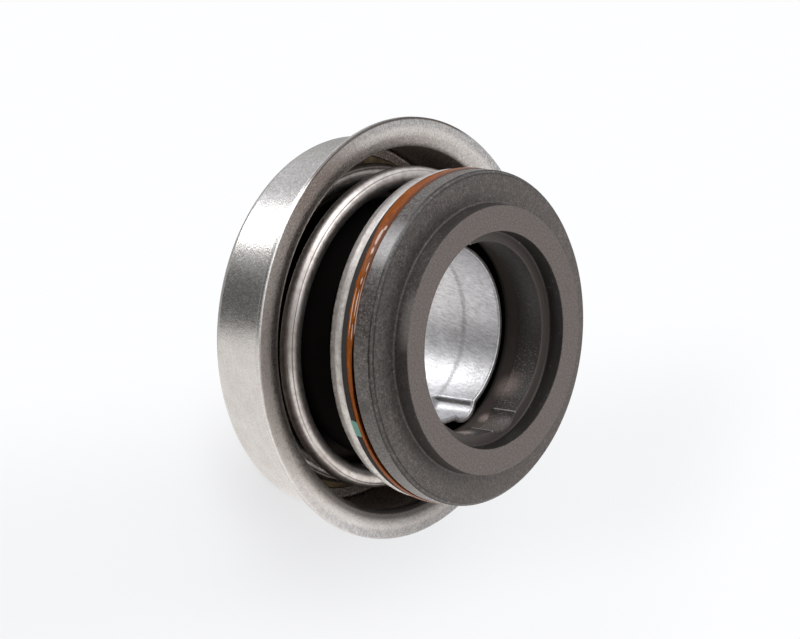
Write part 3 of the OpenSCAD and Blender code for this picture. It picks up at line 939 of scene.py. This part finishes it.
# Sleeve: the tube with its foot, and the ribs swelling smoothly out of it
SLEEVE_TOP = 13.1
SLEEVE_IN = 8.25
TUBE_IN, TUBE_OUT = 8.3, 8.8
WALL = TUBE_OUT - TUBE_IN
TUBE_LOW, TUBE_STEP, TUBE_ROWS = 1.8, 0.175, 64
FOOT_R, FOOT_REAR, FOOT_FRONT = 12.0, 0.6, 1.1
FOOT_BEND = 0.6
RIM_ROUND = 0.17
RIB_RISE = 0.8
RIB_ROUND = 2.0
RIB_REAR = 9.0
RIB_BLEND = 0.05
SLEEVE_SEGMENTS = 540


def rib_swell(azimuth, z, wall_r, back_r):
    """How far a rib lifts a wall at an azimuth in degrees, from the radii of the wall and the rib's back."""
    a = math.radians((azimuth + 90) % 180 - 90)
    middle = TUBE_OUT + RIB_RISE - RIB_ROUND
    left = back_r**2 - max(0.0, RIB_REAR - z) ** 2 - (middle * math.sin(a)) ** 2
    if left <= 0:
        return 0.0
    over = middle * math.cos(a) + math.sqrt(left) - wall_r
    return (over + math.hypot(over, RIB_BLEND)) / 2 - 0.002 if over > -0.5 else 0.0


def sleeve_outline():
    """Section of the tube and its foot. The tube is a little wider in front of the crease than behind it."""
    heights = [TUBE_LOW + TUBE_STEP * i for i in range(TUBE_ROWS)]
    tube = [(SLEEVE_IN + (TUBE_IN - SLEEVE_IN) * ease((z - CREASE_Z + 0.2) / 0.4), z) for z in heights]
    under = corner((SLEEVE_IN, 2.0), (SLEEVE_IN, FOOT_REAR), (FOOT_R, FOOT_REAR), FOOT_BEND + WALL)
    low = FOOT_REAR + 0.02
    inner = [(v.x, max(v.y, low)) for v in reversed(under) if v.x < FOOT_R] + tube + [(TUBE_IN, 12.94)]
    in_top, out_top = (TUBE_IN, SLEEVE_TOP), (TUBE_OUT, SLEEVE_TOP)
    rim = corner((TUBE_IN, 12.0), in_top, out_top, RIM_ROUND, 6)[1:]
    rim += corner(in_top, out_top, (TUBE_OUT, 12.0), RIM_ROUND, 6)
    outer = [(r + WALL, z) for r, z in reversed(tube) if z < 12.9]
    foot = corner((SLEEVE_IN + WALL, 4), (SLEEVE_IN + WALL, FOOT_FRONT), (FOOT_R, FOOT_FRONT), FOOT_BEND, 6)
    chamfer = [(FOOT_R - 0.14, FOOT_FRONT), (FOOT_R, FOOT_FRONT - 0.12)]
    return [(FOOT_R, low)] + inner + rim + outer + foot + chamfer


def make_sleeve():
    points = []
    outline = sleeve_outline()
    for r, z in outline:
        blend = clamp((r - TUBE_IN) / WALL, 0, 1)
        for k in range(SLEEVE_SEGMENTS):
            azimuth = 360 * k / SLEEVE_SEGMENTS
            a = math.radians(azimuth)
            reach = r
            if r < 9.3 and z > 5:
                reach += rib_swell(azimuth, z, TUBE_IN + WALL * blend, RIB_ROUND - WALL + WALL * blend)
            if z > 2:
                reach += 0.006 * noise.noise(Vector((3 * math.cos(a), 3 * math.sin(a), 0.4 * z)))
            points.append((reach * math.cos(a), reach * math.sin(a), z))
    faces = grid_faces(len(outline), SLEEVE_SEGMENTS, True)
    obj = new_piece("sleeve_tube", points, faces, SLEEVE_STEEL, "case", 45)
    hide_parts("inner_sleeve")


make_sleeve()

# Paint dab on the rubber's rim: clock angle and height of its corner, its length in degrees and its height
DAB_CLOCK, DAB_LOW = 119.4, 14.14
DAB_LENGTH, DAB_HEIGHT = 6.2, 0.92
DAB_COLS, DAB_ROWS = 22, 10


def dab_point(i, j, thick):
    """Point of a layer of the dab, whose ends and edges are uneven and whose border is thin."""
    u = i / (DAB_COLS - 1)
    v = j / (DAB_ROWS - 1)
    ragged = 0.35 * noise.noise(Vector((v * 6, 3.3, 0))) if i in (0, DAB_COLS - 1) else 0.0
    clock = DAB_CLOCK + DAB_LENGTH * u + 0.6 * v + ragged
    z = DAB_LOW + DAB_HEIGHT * v + 0.05 * noise.noise(Vector((u * 8, 0, v * 4)))
    from_border = min(u, 1 - u, v, 1 - v) * 6
    r = RIM_R + 0.004 + (thick if from_border > 0 else 0.0) + 0.006 * min(from_border, 1)
    return polar(r, clock, z)


def make_dab():
    count = DAB_COLS * DAB_ROWS
    points = []
    for thick in (0.006, 0.03):
        points += [dab_point(i, j, thick) for j in range(DAB_ROWS) for i in range(DAB_COLS)]
    faces = []
    for j in range(DAB_ROWS - 1):
        for i in range(DAB_COLS - 1):
            a = j * DAB_COLS + i
            under = (a, a + 1, a + DAB_COLS + 1, a + DAB_COLS)
            faces.append(under)
            faces.append(tuple(count + b for b in reversed(under)))
    bottom = list(range(DAB_COLS))
    right = [(j + 1) * DAB_COLS - 1 for j in range(1, DAB_ROWS)]
    top = [count - DAB_COLS + i for i in reversed(range(DAB_COLS - 1))]
    left = [j * DAB_COLS for j in reversed(range(1, DAB_ROWS - 1))]
    border = bottom + right + top + left
    for a, b in zip(border, border[1:] + border[:1]):
        faces.append((a, b, count + b, count + a))
    new_piece("paint_dab", points, faces, PAINT, "head", None)


make_dab()


# Floor and light, with lengths in metres. The lights aim at a height on the seal's axis
WHITE = (0.985, 0.99, 1.0)
FLOOR_HALF = 6.0
FLOOR_DROP = 0.00005
AIM_Z = 0.01


def floor_material():
    """White floor, glowing only for the camera, with a partly painted shadow below and right of the seal."""
    material = bpy.data.materials.new("floor")
    material.use_nodes = True
    g = Graph(material.node_tree)
    diffuse = g.add("ShaderNodeBsdfDiffuse", {"Color": (0.9, 0.935, 0.975)})
    glow = g.add("ShaderNodeEmission", {"Color": WHITE, "Strength": 1.0})
    place = g.add("ShaderNodeTexCoord", {}).outputs["Object"]
    # Partly painted shadow: in a band below and right of the seal the glow gives way to diffuse shading,
    # where the seal's real shadow shows
    drop = g.vector("DOT_PRODUCT", place, tuple(from_photo(0.1, 0.995, 0)))
    begins = g.span(drop, 0.002, 0.017, smooth=True)
    weakens = g.span(drop, 0.034, 0.022, 0.4, 1.0, smooth=True)
    ends = g.span(g.vector("LENGTH", place), 0.055, 0.085, 1.0, 0.0, smooth=True)
    glow_share = g.minus(1.0, g.times(begins, weakens, ends, 0.42))
    seen = g.add("ShaderNodeLightPath", {}).outputs["Is Camera Ray"]
    inputs = {0: g.times(seen, glow_share), 1: diffuse.outputs[0], 2: glow.outputs[0]}
    mix = g.add("ShaderNodeMixShader", inputs)
    g.add("ShaderNodeOutputMaterial", {"Surface": mix.outputs[0]})
    return material


def white_floor():
    mesh = bpy.data.meshes.new("floor")
    corners = [(x * FLOOR_HALF, y * FLOOR_HALF, 0) for x, y in ((-1, -1), (1, -1), (1, 1), (-1, 1))]
    mesh.from_pydata(corners, [], [(0, 1, 2, 3)])
    mesh.materials.append(floor_material())
    floor = bpy.data.objects.new("floor", mesh)
    bpy.context.scene.collection.objects.link(floor)
    floor.location.z = -FLOOR_DROP
    # The studio lies all round the seal, so only the camera sees this floor
    floor.visible_glossy = False
    floor.visible_diffuse = False
    floor.visible_shadow = False


def studio_world():
    """The studio that the metal mirrors: white table, light overhead, dark gap on the left, dark lens."""
    world = bpy.data.worlds.new("studio")
    world.use_nodes = True
    bpy.context.scene.world = world
    g = Graph(world.node_tree)
    way = g.add("ShaderNodeTexCoord", {}).outputs["Generated"]
    up = g.vector("DOT_PRODUCT", way, tuple(from_photo(0, -1, 0)))
    toward = g.vector("DOT_PRODUCT", way, tuple(from_photo(0, 0, -1)))
    gap = g.vector("DOT_PRODUCT", way, tuple(from_photo(-0.975, -0.16, -0.12)))
    front = g.span(toward, 0.2, 0.6, smooth=True)
    colour = g.mix(g.span(up, 0.45, 0.75, smooth=True), (0.45, 0.445, 0.44), (0.75, 0.75, 0.77))
    ahead = g.mix(g.span(up, -0.3, 0.15, smooth=True), (0.22, 0.21, 0.2), (0.7, 0.68, 0.67))
    ahead = g.mix(g.span(up, 0.3, 0.75, smooth=True), ahead, (1.05, 1.04, 1.04))
    colour = g.mix(front, colour, ahead)
    colour = g.mix(g.span(gap, 0.925, 0.97, smooth=True), colour, (0.1, 0.1, 0.1))
    colour = g.mix(g.span(toward, 0.985, 0.995, smooth=True), colour, (0.02, 0.02, 0.02))
    table = g.plus(up, g.times(front, 0.5))
    colour = g.mix(g.span(table, 0.0, -0.1, smooth=True), colour, (1.03, 1.0, 0.975))
    colour = g.mix(g.add("ShaderNodeLightPath", {}).outputs["Is Camera Ray"], colour, WHITE)
    back = g.add("ShaderNodeBackground", {"Color": colour, "Strength": 1.0})
    g.add("ShaderNodeOutputWorld", {"Surface": back.outputs[0]})


def softbox(name, way, along, distance, width, height, radiance):
    """Area light from a direction of the photograph, its width along another. A radiance of 1 is white."""
    data = bpy.data.lights.new(name, "AREA")
    data.shape = "RECTANGLE"
    data.size = width
    data.size_y = height
    data.energy = radiance * math.pi * width * height
    lamp = bpy.data.objects.new(name, data)
    bpy.context.scene.collection.objects.link(lamp)
    back = from_photo(*way)
    side = from_photo(*along)
    side = (side - back * side.dot(back)).normalized()
    turn = Matrix((side, back.cross(side), back)).transposed().to_4x4()
    lamp.matrix_world = Matrix.Translation(Vector((0, 0, AIM_Z)) + back * distance) @ turn
    lamp.visible_camera = False


white_floor()
studio_world()
softbox("key", (-0.695, -0.714, 0.083), (-0.596, 0.508, -0.621), 0.5, 0.09, 0.3, 7.5)
softbox("strip", (0.58, -0.3, -0.76), (1, 0, 0), 0.5, 0.1, 0.4, 2.5)
softbox("overhead", (0.15, -0.8, -0.58), (1, 0, 0), 0.6, 0.5, 0.5, 1.35)

bpy.context.scene.view_settings.view_transform = "Standard"
